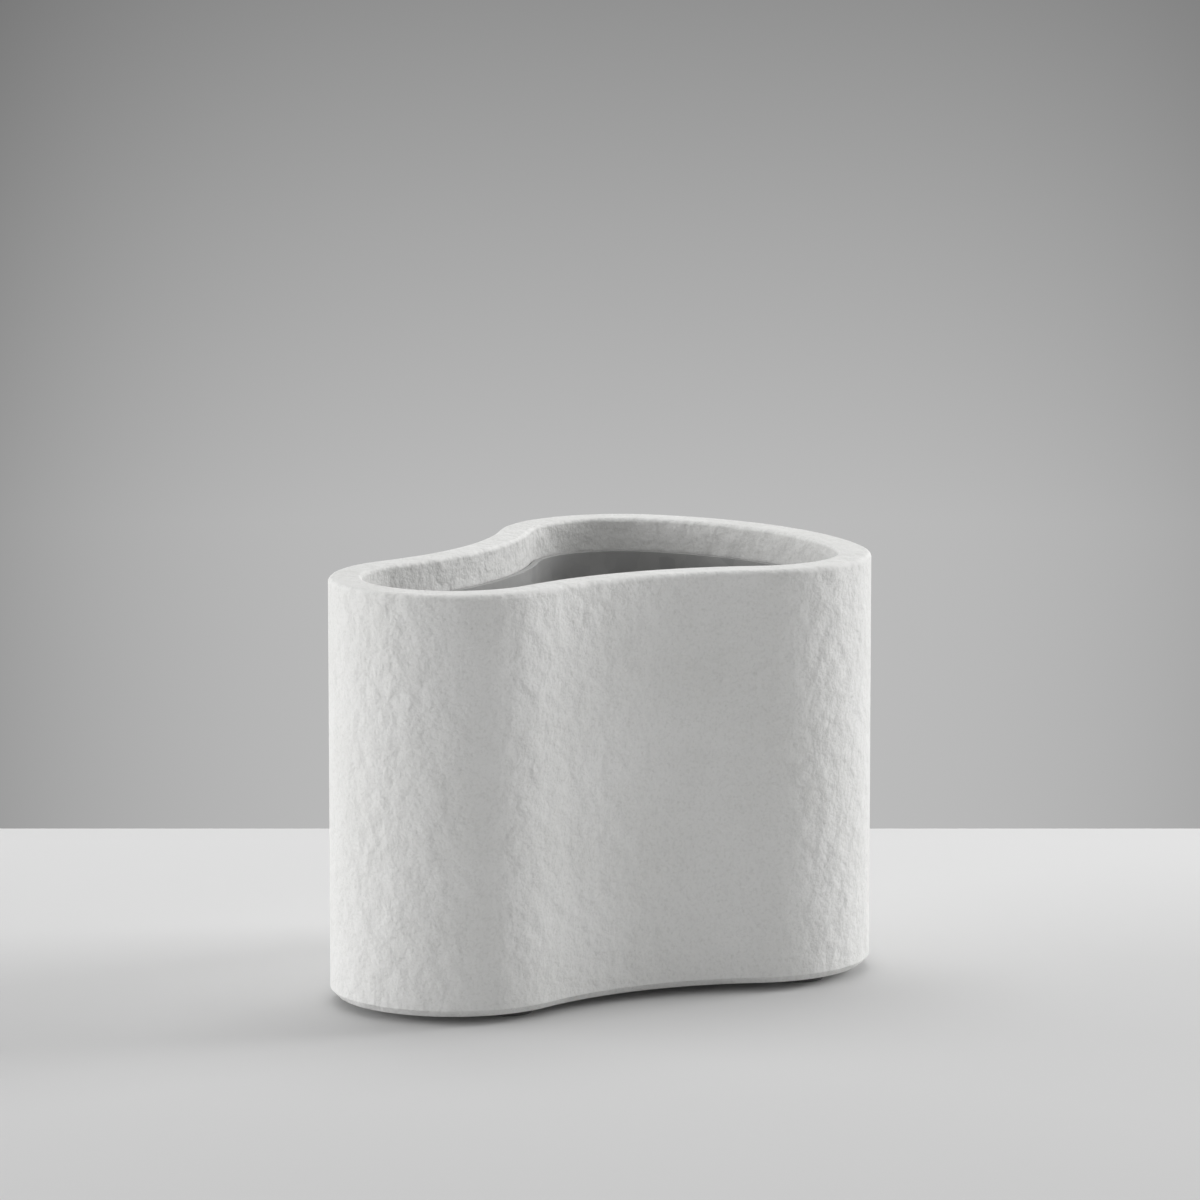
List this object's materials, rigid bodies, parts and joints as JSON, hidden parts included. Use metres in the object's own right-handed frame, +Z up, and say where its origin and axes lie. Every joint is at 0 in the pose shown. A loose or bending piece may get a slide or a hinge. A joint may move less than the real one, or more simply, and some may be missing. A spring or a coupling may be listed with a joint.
{
  "type": "pillow vase",
  "caption": "Thick-walled matt off-white pillow vase with a pinched cushion plan, hollow flanks and a flat rim, holding a loose sheet-metal water liner and standing on low pads",
  "frame": {"origin": "on the floor plane, under the centre of the body's plan outline", "axes": "+X along the plan's mirror line towards the broad end, +Z up"},
  "size_m": [0.212, 0.155, 0.153],
  "materials": {
    "body": "matt, unglazed, fine grain",
    "liner": "dull grey sheet",
    "pad": "dark felt"
  },
  "bodies": {
    "vase": {"vase_body": "body", "foot_pad_small_end_left": "pad", "foot_pad_small_end_right": "pad", "foot_pad_broad_end_left": "pad", "foot_pad_broad_end_right": "pad"},
    "liner": {"liner_wall": "liner", "liner_floor": "liner"}
  },
  "joints": [
    {"name": "liner_lift", "type": "slide", "parent": "vase", "child": "liner", "axis": [0, 0, 1], "range_m": [0, 0.145]}
  ]
}
